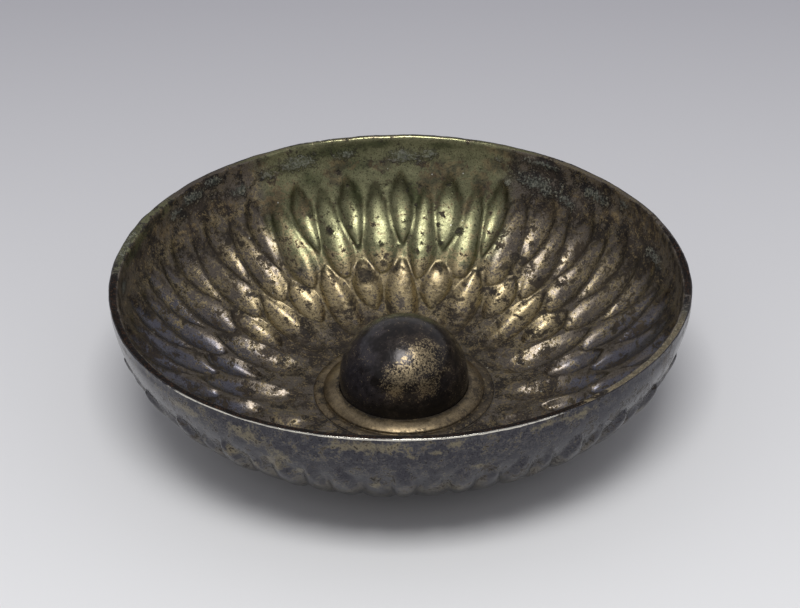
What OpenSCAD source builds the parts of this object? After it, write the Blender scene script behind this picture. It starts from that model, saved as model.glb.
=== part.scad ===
// Phiale: a libation bowl of raised sheet bronze, with four rows of leaves chased into its wall
// and a hollow boss, the omphalos, that gives the fingers a hold from below.
// Sizes are in millimetres. The floor's underside is at z = 0, and the bowl's axis is Z.

/* [Bowl] */
// Diameter over the rim
rim_d = 180; // [150:1:215]
// Height from the underside of the floor to the rim
bowl_h = 45; // [38:0.5:54]
// Thickness of the raised sheet
sheet_t = 1.4; // [1:0.1:1.8]
// How gently the wall leaves the floor
floor_sweep = 1.4; // [1.3:0.05:1.5]
// How full the wall is towards the rim
wall_fullness = 2.2; // [2:0.05:2.5]
// Flat floor left bare outside the collar
floor_margin = 4.9; // [3:0.1:8]

/* [Lip] */
// Extra thickness of the lip, on its inside
lip_swell = 1.4; // [0.8:0.1:2]
// How far down the wall the lip thins out
lip_fall = 9; // [8:0.1:9.5]
// Rounding of the lip's outer edge; its inner edge has half as much
lip_round = 0.7; // [0.4:0.1:1]

/* [Leaves] */
// Long leaves in the lowest row; the row above has as many, and each upper row twice as many
lower_leaves = 15; // [10:1:15]
// Plain band between the rim and the tops of the leaves, along the wall
plain_band = 12.3; // [10:0.1:15]
// Depth of a leaf at its widest
leaf_depth = 1.8; // [1:0.1:2.2]
// Length over which the leaves run out above the floor on the outside, along the wall
run_out = 16; // [15:0.5:24]
// The same on the inside, where the sheet is driven thinner
inner_run_out = 11; // [10:0.5:15]

/* [Omphalos] */
// Outside diameter of the boss
omphalos_d = 41; // [36:0.5:46]
// Height of the boss's straight wall, below its half ball
straight_h = 5; // [4:0.1:7]
// Thickness of the boss
omphalos_t = 1.2; // [0.9:0.1:1.5]
// Width of the foot turned out round the boss
foot_w = 3.8; // [3:0.1:4.6]
// Thickness of the foot
foot_t = 0.8; // [0.6:0.1:1.2]
// Height of the floor's turned-up edge inside the boss
neck_h = 2.5; // [1.5:0.1:4]
// Gap between that edge and the boss
neck_gap = 0.1; // [0.05:0.05:0.3]

/* [Collar] */
// Gap between the collar and the boss with its foot
collar_gap = 0.2; // [0.1:0.05:0.4]
// How far the main bead reaches past the foot
bead_cover = 1.2; // [0.8:0.1:2]
// How far the main bead's crest lies outside its inner edge
bead_crest = 1.5; // [1:0.1:2.2]
// Rise of the main bead
bead_rise = 1.25; // [0.8:0.05:1.8]
// Width of the low outer bead
step_w = 3.2; // [2:0.1:4.5]
// Rise of the low outer bead
step_rise = 0.6; // [0.3:0.05:0.9]
// Straight edge below each bead
bead_edge = 0.25; // [0.1:0.05:0.4]

/* [Solder] */
// Thickness of the solder film under the boss and the collar
solder_t = 0.15; // [0.1:0.05:0.3]
// Solder that shows outside the collar
solder_show = 0.3; // [0.1:0.05:0.6]

/* [Hidden] */
$fn = 96;
past = 1;

// Heights of the joint in the floor
foot_z = sheet_t + solder_t;
foot_top = foot_z + foot_t;
neck_top = sheet_t + neck_h;

// Radii from the middle of the floor outwards
rim_r = rim_d / 2;
omphalos_r = omphalos_d / 2;
hollow_r = omphalos_r - omphalos_t;
neck_r = hollow_r - neck_gap;
opening_r = neck_r - sheet_t;
foot_r = omphalos_r + foot_w;
collar_in = omphalos_r + collar_gap;
bead_crest_r = collar_in + bead_crest;
rebate_r = foot_r + collar_gap;
bead_r = rebate_r + bead_cover;
step_in = bead_r - bead_cover / 2;
step_crest_r = bead_r + step_w / 2;
collar_r = bead_r + step_w;
floor_r = collar_r + floor_margin;

// The wall's outline, from the rim at 0 degrees to the floor at 90: a superellipse
function wall_point(a) = [
    floor_r + (rim_r - floor_r) * pow(cos(a), 2 / floor_sweep),
    bowl_h - bowl_h * pow(sin(a), 2 / wall_fullness)
];

// The way out of the wall, square to its outline
tangent_step = 0.05;
function wall_normal(a) =
    let (
        along = wall_point(min(a + tangent_step, 90)) - wall_point(max(a - tangent_step, 0)),
        unit = along / norm(along)
    )
    [-unit.y, unit.x];

// Length down the wall from the rim, against the outline's angle
wall_steps = 120;
function step_angle(i) = 90 * i / wall_steps;
function step_length(i) =
    i < wall_steps ? norm(wall_point(step_angle(i + 1)) - wall_point(step_angle(i))) : 0;
wall_table = [
    for (i = 0, s = 0; i <= wall_steps; s = s + step_length(i), i = i + 1) [s, step_angle(i)]
];
wall_length = wall_table[wall_steps][0];
function wall_angle(s) = lookup(s, wall_table);

// Places along the leaves, as shares of the wall between the plain band and the floor
function leaf_place(share) = plain_band + (wall_length - plain_band) * share;
upper_top = leaf_place(0);
upper_short_tip = leaf_place(0.44);
lower_top = leaf_place(0.50);
upper_long_tip = leaf_place(0.60);
lower_short_tip = leaf_place(0.81);
lower_long_tip = leaf_place(1);

// Leaf rows: angle of the first leaf, angle between leaves, top and tip along the wall, half-width
// at the widest, and the powers by which a leaf opens below its top and closes at its tip
FIRST = 0;
STEP = 1;
TOP = 2;
TIP = 3;
HALF = 4;
OPEN = 5;
CLOSE = 6;
pitch = 180 / lower_leaves;
pair = 2 * pitch;
upper_short = [0, pitch, upper_top, upper_short_tip, 0.265 * pitch, 1, 1];
upper_long = [pitch / 2, pitch, upper_top, upper_long_tip, 0.37 * pitch, 1.2, 0.5];
lower_short = [pitch, pair, lower_top, lower_short_tip, 0.435 * pitch, 0.75, 0.6];
lower_long = [0, pair, lower_top, lower_long_tip, 0.56 * pitch, 0.75, 0.4];
leaf_rows = [upper_short, upper_long, lower_short, lower_long];

// A hump of height 1 over 0 to 1, with a power of its own on each side
function hump(t, open, close) =
    let (sum = open + close)
    pow(t * sum / open, open) * pow((1 - t) * sum / close, close);

// A leaf's width at a place down the wall, as a share of its width at the widest
function leaf_share(row, s) =
    let (t = (s - row[TOP]) / (row[TIP] - row[TOP]))
    t <= 0 || t >= 1 ? 0 : hump(t, row[OPEN], row[CLOSE]);
function leaf_half(row, s) = row[HALF] * leaf_share(row, s);

// Angle from the nearest leaf of a row
function from_leaf(row, angle) =
    let (turns = (angle - row[FIRST]) / row[STEP])
    abs(turns - round(turns)) * row[STEP];

// How far the wall is driven out at an angle and a place: a round trough along each leaf
function leaf_drop(row, angle, s) =
    let (half = leaf_half(row, s), away = from_leaf(row, angle))
    away >= half ? 0 : leaf_depth * leaf_share(row, s) * (1 - pow(away / half, 2));
function drop(angle, s, fade) =
    max([for (row = leaf_rows) leaf_drop(row, angle, s)])
    * min(1, (wall_length - s) / fade);

// Ridge beside a leaf of half-width own: at its edge, or shared with the leaf across the gap
least_angle = pitch / 30;
function ridge(own, other, room) =
    let (
        gap = max(0, room - own - other),
        at = own + other == 0 ? room / 2 : own + gap * other / (own + other)
    )
    min(max(at, least_angle), room - least_angle);

// Grid lines over one pair of leaves at a place down the wall: they follow the leaves' middles
// and the ridges between them
function pair_lines(s) =
    let (
        even = max(leaf_half(upper_short, s), leaf_half(lower_long, s)),
        odd = max(leaf_half(upper_short, s), leaf_half(lower_short, s)),
        between = leaf_half(upper_long, s),
        middle = (even + pitch - odd) / 2,
        near = ridge(even, between, middle),
        far = pitch - ridge(odd, between, pitch - middle),
        half = [
            0, near / 2, near, (near + middle) / 2,
            middle, (middle + far) / 2, far, (far + pitch) / 2
        ]
    )
    concat(half, [pitch], [for (i = [7:-1:1]) pair - half[i]]);
lines_per_pair = 16;
lines = lines_per_pair * lower_leaves;
first_leaf = 90;

function on_circle(r, angle, z) = [r * cos(angle), r * sin(angle), z];

// One ring of the shell: the wall at a place, driven out by the leaves and set in by an amount
function leaf_ring(s, inset, fade) =
    let (
        a = wall_angle(s),
        base = wall_point(a),
        out = wall_normal(a),
        spots = [
            for (angle = pair_lines(s))
                let (p = base + out * (drop(angle, s, fade) - inset)) [angle, p.x, p.y]
        ]
    )
    [
        for (k = [0 : lower_leaves - 1], spot = spots)
            on_circle(spot[1], first_leaf + k * pair + spot[0], spot[2])
    ];

// One plain ring of the lip, with half as many points
function lip_ring(p) =
    [for (k = [0 : lines / 2 - 1]) on_circle(p.x, first_leaf + 720 * k / lines, p.y)];
lip_inner_r = rim_r - sheet_t - lip_swell;
lip_inner_round = lip_round / 2;
lip_foot_angle = wall_angle(lip_fall);
lip_outline = [
    wall_point(wall_angle(lip_round)),
    [rim_r - lip_round, bowl_h],
    [lip_inner_r + lip_inner_round, bowl_h],
    [lip_inner_r, bowl_h - lip_inner_round],
    wall_point(lip_foot_angle) - sheet_t * wall_normal(lip_foot_angle)
];

// Places of the rings on the two faces of the wall
function spread(from, to, count) = [for (i = [0 : count - 1]) from + (to - from) * i / count];
inner_places = concat(
    spread(upper_top, upper_short_tip, 5),
    spread(upper_short_tip, lower_top, 1),
    spread(lower_top, upper_long_tip, 2),
    spread(upper_long_tip, lower_short_tip, 2),
    spread(lower_short_tip, lower_long_tip, 2),
    [wall_length]
);
outer_places = concat(
    spread(upper_top, upper_short_tip, 4),
    spread(upper_short_tip, upper_long_tip, 2),
    spread(upper_long_tip, lower_short_tip, 2),
    spread(lower_short_tip, lower_long_tip, 2),
    [wall_length]
);

// Triangles between two rings that start at points a and b and have count_a and count_b points
function stitch(a, count_a, b, count_b) =
    count_a == count_b ? [
        for (j = [0 : count_a - 1])
            let (k = (j + 1) % count_a, rising = j % (lines_per_pair / 2) < lines_per_pair / 4)
            each rising
                ? [[a + j, b + j, b + k], [a + j, b + k, a + k]]
                : [[a + j, b + j, a + k], [a + k, b + j, b + k]]
    ] : count_a > count_b ? [
        for (j = [0 : count_b - 1])
            let (k = (j + 1) % count_b, a0 = a + 2 * j, a2 = a + 2 * k)
            each [[a0, b + j, a0 + 1], [a0 + 1, b + j, b + k], [a0 + 1, b + k, a2]]
    ] : [
        for (j = [0 : count_a - 1])
            let (k = (j + 1) % count_a, b0 = b + 2 * j, b2 = b + 2 * k)
            each [[a + j, b0, b0 + 1], [a + j, b0 + 1, a + k], [a + k, b0 + 1, b2]]
    ];

// The raised sheet, up its outside, over the lip and down its inside, with its floor still whole
module raised_sheet() {
    last_outer = len(outer_places) - 1;
    rings = concat(
        [for (i = [last_outer:-1:0]) leaf_ring(outer_places[i], 0, run_out)],
        [for (p = lip_outline) lip_ring(p)],
        [for (s = inner_places) leaf_ring(s, sheet_t, inner_run_out)]
    );
    starts = [for (i = 0, n = 0; i < len(rings); n = n + len(rings[i]), i = i + 1) n];
    wall_faces = [
        for (i = [0 : len(rings) - 2])
            each stitch(starts[i], len(rings[i]), starts[i + 1], len(rings[i + 1]))
    ];
    underside = [for (j = [0 : lines - 1]) j];
    floor_top = [for (j = [lines - 1 : -1 : 0]) starts[len(rings) - 1] + j];
    polyhedron([for (ring = rings) each ring], concat([underside], wall_faces, [floor_top]));
}

// Bowl: raised sheet whose floor has an opening with a turned-up edge
module bowl() {
    color("#8a7440")
        difference() {
            union() {
                raised_sheet();
                translate([0, 0, sheet_t / 2])
                    cylinder(r = neck_r, h = neck_top - sheet_t / 2);
            }
            translate([0, 0, -past])
                cylinder(r = opening_r, h = neck_top + 2 * past);
        }
}

// Half of a boss's outline: a quarter circle over a straight wall that runs on downwards by below
module boss_outline(r, below) {
    translate([0, straight_h])
        intersection() {
            circle(r = r);
            square(r);
        }
    translate([0, -below])
        square([r, straight_h + below]);
}

// Omphalos: hollow half ball on a straight wall, with a flat foot turned out round it
module omphalos() {
    color("#33291d")
        translate([0, 0, foot_z])
            rotate_extrude()
                difference() {
                    union() {
                        boss_outline(omphalos_r, 0);
                        square([foot_r, foot_t]);
                    }
                    boss_outline(hollow_r, past);
                }
}

// A bead's outline from r0 to r1: an arc with its crest at a radius, over a straight outer edge
module bead_outline(r0, crest_r, r1, edge, rise) {
    arc_r = (pow(r1 - crest_r, 2) + pow(rise, 2)) / (2 * rise);
    intersection() {
        translate([crest_r, edge + rise - arc_r])
            circle(r = arc_r);
        translate([r0, 0])
            square([r1 - r0, edge + rise + past]);
    }
}

// Collar: a main bead over the omphalos's foot and a low bead round it, in one ring
module collar() {
    color("#8f7238")
        translate([0, 0, foot_z])
            rotate_extrude()
                difference() {
                    union() {
                        bead_outline(collar_in, bead_crest_r, bead_r, foot_t + bead_edge, bead_rise);
                        bead_outline(step_in, step_crest_r, collar_r, bead_edge, step_rise);
                    }
                    translate([0, -past])
                        square([rebate_r, foot_t + past]);
                }
}

// Solder: the thin film that holds the omphalos and the collar to the floor
module solder() {
    color("#5e5a50")
        translate([0, 0, sheet_t])
            difference() {
                cylinder(r = collar_r + solder_show, h = solder_t);
                translate([0, 0, -past])
                    cylinder(r = hollow_r, h = solder_t + 2 * past);
            }
}

bowl();
omphalos();
collar();
solder();
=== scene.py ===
import math
from collections import namedtuple
from types import SimpleNamespace

import bpy
import numpy as np
from mathutils import Matrix, Vector


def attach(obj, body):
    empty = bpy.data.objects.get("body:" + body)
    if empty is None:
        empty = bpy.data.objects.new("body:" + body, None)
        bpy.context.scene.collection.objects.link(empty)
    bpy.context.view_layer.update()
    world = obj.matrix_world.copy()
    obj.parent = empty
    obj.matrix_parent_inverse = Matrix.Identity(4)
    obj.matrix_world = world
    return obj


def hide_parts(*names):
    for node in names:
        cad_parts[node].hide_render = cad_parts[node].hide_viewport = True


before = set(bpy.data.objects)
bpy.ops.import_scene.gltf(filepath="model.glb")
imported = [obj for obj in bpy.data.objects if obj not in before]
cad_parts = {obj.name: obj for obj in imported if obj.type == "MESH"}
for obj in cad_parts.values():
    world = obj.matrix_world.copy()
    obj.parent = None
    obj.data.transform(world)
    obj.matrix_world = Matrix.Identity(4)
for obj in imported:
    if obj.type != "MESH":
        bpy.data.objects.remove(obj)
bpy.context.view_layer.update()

# Lengths are in millimetres, angles in degrees. The bowl's axis is Z, and the back is at 90 degrees.
MM = 0.001
SEED = 71

# Bowl
RIM_R = 90.0
BOWL_H = 45.0
SHEET_T = 1.4
FLOOR_SWEEP = 1.4
WALL_FULLNESS = 2.2
FLOOR_R = 33.8
OPENING_R = 17.8
NECK_R = 19.2
NECK_TOP = 3.9
LIP_SWELL = 1.4
LIP_FALL = 14.0
CORNER = 0.3
UNDERSIDE_Z = 0.5

# Leaves
LOWER_LEAVES = 15
PLAIN_BAND = 12.3
LEAF_DEPTH = 1.8
RUN_OUT = 16.0
INNER_RUN_OUT = 5.0
FIRST_LEAF = 90.0
RIDGE_SOFT = 0.28
LEAF_BELLY = 2.6
DEPTH_POWER = 0.75
LEAST_HALF = 0.05
OUTER_BOLD = 1.15
BOLD_POWER = 0.6
LOW_DEEPER = 0.35
RIDGE_WIDTH = 0.65
LEAST_SHEET = 0.5

# Omphalos and collar
OMPHALOS_R = 20.5
HOLLOW_R = 19.3
STRAIGHT_H = 5.0
FOOT_Z = 1.55
FOOT_TOP = 2.35
FOOT_R = 24.3
COLLAR_IN = 20.6
REBATE_R = 24.5
BEAD_R = 25.7
COLLAR_R = 28.9
BEAD_CREST_R = 21.4
BEAD_RISE = 1.6
STEP_RISE = 0.45
BEAD_EDGE = 0.25
FOOT_FILLET = 0.25
FOOT_EDGE = 0.2
COLLAR_EDGE = 0.05

# Turned pieces: points round, unevenness, seed
DOME_TURNING = (180, 0.10, 31)
COLLAR_TURNING = (240, 0.08, 32)
TURNING_CELL = 9.0

# Hand-made unevenness of the bowl
LEAN = -1.4
LEAN_POWER = 1.3
THIN_BACK = 0.55
SWELL_LOSS = 1.08
LIP_TILT = 0.03
BACK_TILT = 0.36
CRUST_RISE = 0.28
PIT_DEPTH = 0.30
# Bulges and dents of the rim: direction, half-width, amount
WARPS = ((-15, 26, 1.2), (218, 26, 1.2), (174, 30, -0.6))
# Rise of the rim: everywhere, with the cosine, with the sine, with the cosine of twice the angle
RIM_RISE = (0.325, -0.40, -0.20, -0.225)
# Seeded drifts: share of the place down the wall, cell, seed, octaves, middle, amount
SIDEWAYS = (0.25, 9, 1, 2, 0.5, 1.7)
ALONG = (0.2, 8, 2, 2, 0.5, 4.2)
DEEPER = (0.3, 8, 3, 2, 0.5, 0.5)
DENTS = (1, 11, 4, 2, 0.5, 0.42)
LIP_IN_OUT = (0.5, 4, 5, 3, 0.5, 0.35)
LIP_UP_DOWN = (0, 7, 6, 3, 0.62, 0.45)
LUMPS = (1, 2.6, 7, 3, 0, 1)

# Cloud noise: radius at which its cells are measured, rows, first row, fade of an octave
NOISE_R = 70.0
NOISE_ROWS = 400
NOISE_START = 40.0
NOISE_FADE = 0.55


def smooth(x, low, high):
    """0 below low, 1 above high, smooth between."""
    t = np.clip((x - low) / (high - low), 0.0, 1.0)
    return t * t * (3.0 - 2.0 * t)


def turn_gap(angle, centre):
    """Angle between two directions, 0 to 180."""
    return np.abs((angle - centre + 180.0) % 360.0 - 180.0)


def around(angle, centre, half, soft):
    """1 near a direction, 0 away from it."""
    return 1.0 - smooth(turn_gap(angle, centre), half - soft, half + soft)


def elsewhere(zone):
    """The zone of the angles that another zone leaves out."""
    centre, half, soft = zone
    return centre + 180.0, 180.0 - half, soft


def band(x, low, high, soft):
    """1 between low and high, 0 outside, smooth at both ends."""
    return smooth(x, low - soft, low + soft) * (1.0 - smooth(x, high - soft, high + soft))


def blotches(angle, place, cell, seed, octaves):
    """Seeded cloud noise from 0 to 1 on the wall: angle round the bowl, place down the wall."""
    total = np.zeros(np.broadcast(angle, place).shape)
    weight = 0.0
    for octave in range(octaves):
        size = cell / 2 ** octave
        count = max(4, int(round(2.0 * math.pi * NOISE_R / size)))
        grid = np.random.default_rng([SEED, seed, octave]).random((count, NOISE_ROWS))
        u = (angle / 360.0 * count) % count
        v = np.clip(place / size + NOISE_START, 0.0, NOISE_ROWS - 2.0)
        i = np.floor(u).astype(int)
        j = np.floor(v).astype(int)
        fu = smooth(u - i, 0.0, 1.0)
        fv = smooth(v - j, 0.0, 1.0)
        i0 = i % count
        i1 = (i + 1) % count
        low = grid[i0, j] * (1.0 - fu) + grid[i1, j] * fu
        high = grid[i0, j + 1] * (1.0 - fu) + grid[i1, j + 1] * fu
        share = NOISE_FADE ** octave
        total = total + share * (low * (1.0 - fv) + high * fv)
        weight += share
    return total / weight


def drift(angle, place, stretch, cell, seed, octaves, middle, amount):
    """Seeded unevenness of the bowl."""
    return (blotches(angle, place * stretch, cell, seed, octaves) - middle) * amount


# The wall's outline as tables over the length down the wall
OUTLINE_STEPS = 4000
outline_angle = np.radians(np.linspace(0.0, 90.0, OUTLINE_STEPS + 1))
outline_r = FLOOR_R + (RIM_R - FLOOR_R) * np.cos(outline_angle).clip(0.0) ** (2.0 / FLOOR_SWEEP)
outline_z = BOWL_H - BOWL_H * np.sin(outline_angle) ** (2.0 / WALL_FULLNESS)
outline_s = np.concatenate([[0.0], np.cumsum(np.hypot(np.diff(outline_r), np.diff(outline_z)))])
WALL_LENGTH = outline_s[-1]
run_r = np.gradient(outline_r)
run_z = np.gradient(outline_z)
run = np.hypot(run_r, run_z)
out_r = -run_z / run
out_z = run_r / run

# Zones round the bowl: middle, half-width, softness of both ends
WORN_BACK = (92, 58, 18)
WORN_RIGHT = (48, 34, 14)
TILTED_BACK = (92, 60, 28)
BACK = (93, 29, 9)
FRONT = (270, 85, 15)
GOLD_RIGHT = (36, 30, 14)
GOLD_LEFT = (143, 28, 12)
WARM_LIP = (322, 22, 8)
# Where the lip is rubbed bright
RUBBED_LIP = ((83, 64, 10), (329, 20, 9), (163, 14, 9))

# Zones down the wall: start, end, softness of both ends
ABOVE = -999
BELOW = 999
FREE_LEAVES = (8, WALL_LENGTH - 6, 6)
DENTED = (4, WALL_LENGTH - 5, 4)
LOW_LEAVES = (50, 74, 6)
# How far the ridges between the low leaves rise, and where
RIDGE_RISES = ((0.25, (44, 58, 5)), (0.75, (60, 74, 5)))


def wall(s):
    """Radius, height and outward direction of the plain wall at a length from the rim."""
    return tuple(np.interp(s, outline_s, table) for table in (outline_r, outline_z, out_r, out_z))


def thin_lip(angle):
    """1 at the back and the right, where the lip is worn thin."""
    return np.maximum(around(angle, *WORN_BACK), around(angle, *WORN_RIGHT))


def sheet(place, angle):
    """Thickness of the wall, which swells towards the lip except where that is worn thin."""
    swell = LIP_SWELL * (1.0 - SWELL_LOSS * thin_lip(angle))
    return SHEET_T + swell * (1.0 - smooth(place, 0.0, LIP_FALL))


def leaf_place(share):
    """Place down the wall at a share of the leaves' length."""
    return PLAIN_BAND + (WALL_LENGTH - PLAIN_BAND) * share


# Rows of leaves: first angle, step, top, tip, half-width, power at the top, power at the tip
Leaf = namedtuple("Leaf", "first step top tip half opens closes")
PITCH = 180.0 / LOWER_LEAVES
PAIR = 2.0 * PITCH
UPPER_TOP = leaf_place(0.0)
LOWER_TOP = leaf_place(0.50)
UPPER_SHORT = Leaf(0.0, PITCH, UPPER_TOP, leaf_place(0.44), 0.265 * PITCH, 1.0, 1.0)
UPPER_LONG = Leaf(PITCH / 2.0, PITCH, UPPER_TOP, leaf_place(0.60), 0.37 * PITCH, 1.2, 0.5)
LOWER_SHORT = Leaf(PITCH, PAIR, LOWER_TOP, leaf_place(0.81), 0.435 * PITCH, 0.75, 0.6)
LOWER_LONG = Leaf(0.0, PAIR, LOWER_TOP, leaf_place(1.0), 0.56 * PITCH, 0.75, 0.4)
LEAF_ROWS = (UPPER_SHORT, UPPER_LONG, LOWER_SHORT, LOWER_LONG)


def leaf_share(leaf, s):
    """A leaf's width at a place, as a share of its greatest width."""
    t = np.clip((s - leaf.top) / (leaf.tip - leaf.top), 0.0, 1.0)
    both = leaf.opens + leaf.closes
    return (t * both / leaf.opens) ** leaf.opens * ((1.0 - t) * both / leaf.closes) ** leaf.closes


def soft_max(a, b, soft):
    """The larger of two heights, rounded where they meet."""
    h = np.maximum(soft - np.abs(a - b), 0.0) / soft
    return np.maximum(a, b) + h * h * soft / 4.0


def leaf_drop(angle, s, fade):
    """How far the leaves drive the wall out, with rounded ridges; they run out over a length."""
    drop = np.zeros(np.broadcast(angle, s).shape)
    for leaf in LEAF_ROWS:
        share = leaf_share(leaf, s)
        half = np.maximum(leaf.half * share, LEAST_HALF)
        turns = (angle - leaf.first) / leaf.step
        away = np.abs(turns - np.round(turns)) * leaf.step
        one = LEAF_DEPTH * share ** DEPTH_POWER * (1.0 - (away / half) ** LEAF_BELLY)
        soft = RIDGE_SOFT * np.minimum(share * 2.0, 1.0) + 0.01
        drop = soft_max(drop, np.maximum(one, -1.0), soft)
    return drop * np.minimum(1.0, (WALL_LENGTH - s) / fade)


# Grid lines of the bowl's mesh: they follow the middles of the leaves and the ridges between them
LINE_STEPS = 4
LINE_TABLE = 500
LINE_BLUR = 9
LEAST_GAP = PITCH / 30.0
TINY = 1e-6
line_s = np.linspace(0.0, WALL_LENGTH, LINE_TABLE)


def ridge_line(own, other, room):
    """Angle of the ridge between two leaves whose middles are apart by a room."""
    gap = np.maximum(0.0, room - own - other)
    both = own + other
    at = np.where(both < TINY, room / 2.0, own + gap * other / np.maximum(both, TINY))
    return np.clip(at, LEAST_GAP, room - LEAST_GAP)


def blurred(values):
    kernel = np.hanning(2 * LINE_BLUR + 3)[1:-1]
    padded = np.pad(values, LINE_BLUR, mode="edge")
    return np.convolve(padded, kernel / kernel.sum(), mode="valid")


def key_lines():
    """Angles of middles and ridges over half a pair of lower leaves, at the places of line_s."""
    halves = [leaf.half * leaf_share(leaf, line_s) for leaf in LEAF_ROWS]
    even = np.maximum(halves[0], halves[3])
    odd = np.maximum(halves[0], halves[2])
    middle = (even + PITCH - odd) / 2.0
    near = ridge_line(even, halves[1], middle)
    far = PITCH - ridge_line(odd, halves[1], PITCH - middle)
    first = np.zeros(LINE_TABLE)
    last = np.full(LINE_TABLE, PITCH)
    return [first, blurred(near), blurred(middle), blurred(far), last]


KEYS = key_lines()


def ring_angles(s):
    """Angles of the mesh's grid lines at one place down the wall, right round the bowl."""
    at = [np.interp(s, line_s, key) for key in KEYS]
    half = []
    for low, high in zip(at[:-1], at[1:]):
        half.extend(low + (high - low) * k / LINE_STEPS for k in range(LINE_STEPS))
    pair = np.array(half + [PAIR - a for a in [PITCH] + half[:0:-1]])
    return np.concatenate([pair + k * PAIR for k in range(LOWER_LEAVES)])


# Rows of the bowl's mesh, and the faces that they are on
OUTER_ROWS = 66
BAND_ROWS = 9
INNER_ROWS = 86
LIP_START = 2.4
OUTER_START = 2.9
INNER_START = 2.8
UNDER_FLOOR_R = (OPENING_R + CORNER, 19.5, 24.0, 28.0, 31.5)
UPPER_FLOOR_R = (32.5, 30.0, 27.0, 23.0, NECK_R + CORNER)
OUT, LIP, IN, FLOOR = 0, 1, 2, 3


def rounded(points, times):
    """Corner cutting of an open line."""
    points = np.array(points, float)
    for _ in range(times):
        a = points[:-1] * 0.75 + points[1:] * 0.25
        b = points[:-1] * 0.25 + points[1:] * 0.75
        middle = np.stack([a, b], 1).reshape(-1, 2)[1:-1]
        points = np.vstack([points[:1], middle, points[-1:]])
    return points


def lip_points():
    """The lip's outline: up its outer face, over its flat top and round its inner edge."""
    r0, z0, _, _ = wall(LIP_START)
    inner = RIM_R - SHEET_T - LIP_SWELL
    line = [
        (r0, z0), (RIM_R - 0.02, BOWL_H - 0.7), (RIM_R, BOWL_H - 0.26),
        (RIM_R - 0.1, BOWL_H), (RIM_R - 0.42, BOWL_H - 0.02), (inner + 0.9, BOWL_H - 0.1),
        (inner + 0.25, BOWL_H - 0.35), (inner, BOWL_H - 0.9), (inner - 0.05, BOWL_H - 1.5),
    ]
    return rounded(line, 2)


def bowl_rows():
    """(face, place, radius, height) of each row, once round the section."""
    upper_band = np.linspace(INNER_START, PLAIN_BAND - 1.2, BAND_ROWS)
    leafy = np.linspace(PLAIN_BAND, WALL_LENGTH, INNER_ROWS)
    neck = [
        (NECK_R, SHEET_T + CORNER), (NECK_R, NECK_TOP - CORNER), (NECK_R - CORNER, NECK_TOP),
        (OPENING_R + CORNER, NECK_TOP), (OPENING_R, NECK_TOP - CORNER), (OPENING_R, CORNER),
    ]
    rows = [(FLOOR, WALL_LENGTH, r, 0.0) for r in UNDER_FLOOR_R]
    rows += [(OUT, s, 0.0, 0.0) for s in np.linspace(WALL_LENGTH, OUTER_START, OUTER_ROWS)]
    rows += [(LIP, max(0.0, BOWL_H - z), r, z) for r, z in lip_points()]
    rows += [(IN, s, 0.0, 0.0) for s in np.concatenate([upper_band, leafy])]
    rows += [(FLOOR, WALL_LENGTH, r, SHEET_T) for r in UPPER_FLOOR_R]
    rows += [(FLOOR, WALL_LENGTH, r, z) for r, z in neck]
    return rows


def leaf_relief(face, place, angle, leaf_angle):
    """How far the leaves are driven out, and how far the ridges between the low ones rise."""
    inner = face == IN
    deeper = 1.0 + drift(angle, place, *DEEPER)
    drop = leaf_drop(leaf_angle, place, np.where(inner, INNER_RUN_OUT, RUN_OUT)) * deeper
    bold = LEAF_DEPTH * OUTER_BOLD * (np.maximum(drop, 0.0) / LEAF_DEPTH) ** BOLD_POWER
    room = np.interp(place, outline_s, outline_z) + SHEET_T - LEAST_SHEET
    inner_drop = np.minimum(drop * (1.0 + LOW_DEEPER * band(place, *LOW_LEAVES)), room)
    drop = np.where(face == OUT, bold, inner_drop)
    rise = sum(amount * band(place, *zone) for amount, zone in RIDGE_RISES)
    return drop, inner * np.exp(-(drop / RIDGE_WIDTH) ** 2) * rise


def worn_lip(face, place, angle, r, z):
    """Radius and height with a lip worn thin and uneven, its top tilted inwards."""
    lip = face == LIP
    r = np.where(lip, RIM_R - (RIM_R - r) * (1.0 - THIN_BACK * thin_lip(angle)), r)
    near_top = lip * smooth(z, BOWL_H - 5.0, BOWL_H - 1.0)
    r = r + near_top * drift(angle, place, *LIP_IN_OUT)
    z = z + near_top * drift(angle, place, *LIP_UP_DOWN)
    tilt = LIP_TILT + BACK_TILT * around(angle, *TILTED_BACK)
    z = z - lip * (RIM_R - r) * tilt * smooth(z, BOWL_H - 2.0, BOWL_H - 0.5)
    return r, z


def marks_push(face, place, angle, fields):
    """How far pits go into the metal, less how far crusts stand on it."""
    lump = drift(angle, place, *LUMPS)
    raised = CRUST_RISE * smooth(fields["crust"] + lump - 0.5, 0.0, 0.5) * (0.5 + lump)
    sunk = PIT_DEPTH * smooth(fields["pit"], -0.4, 0.8)
    return np.where(face == FLOOR, 0.0, sunk - raised)


def warped(angle, turn, r, z):
    """Points after the rim's bulges, its rise and its lean."""
    high = np.clip(z / BOWL_H, 0.0, 1.1)
    for centre, half, amount in WARPS:
        r = r + amount * high ** 2 * np.exp(-(turn_gap(angle, centre) / half) ** 2)
    even, by_cos, by_sin, by_twice = RIM_RISE
    rise = even + by_cos * np.cos(turn) + by_sin * np.sin(turn) + by_twice * np.cos(2.0 * turn)
    z = z + rise * high ** 3
    x = r * np.cos(turn) + LEAN * high ** LEAN_POWER
    y = r * np.sin(turn)
    return np.stack([x, y, np.maximum(z, 0.0)], -1)


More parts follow.
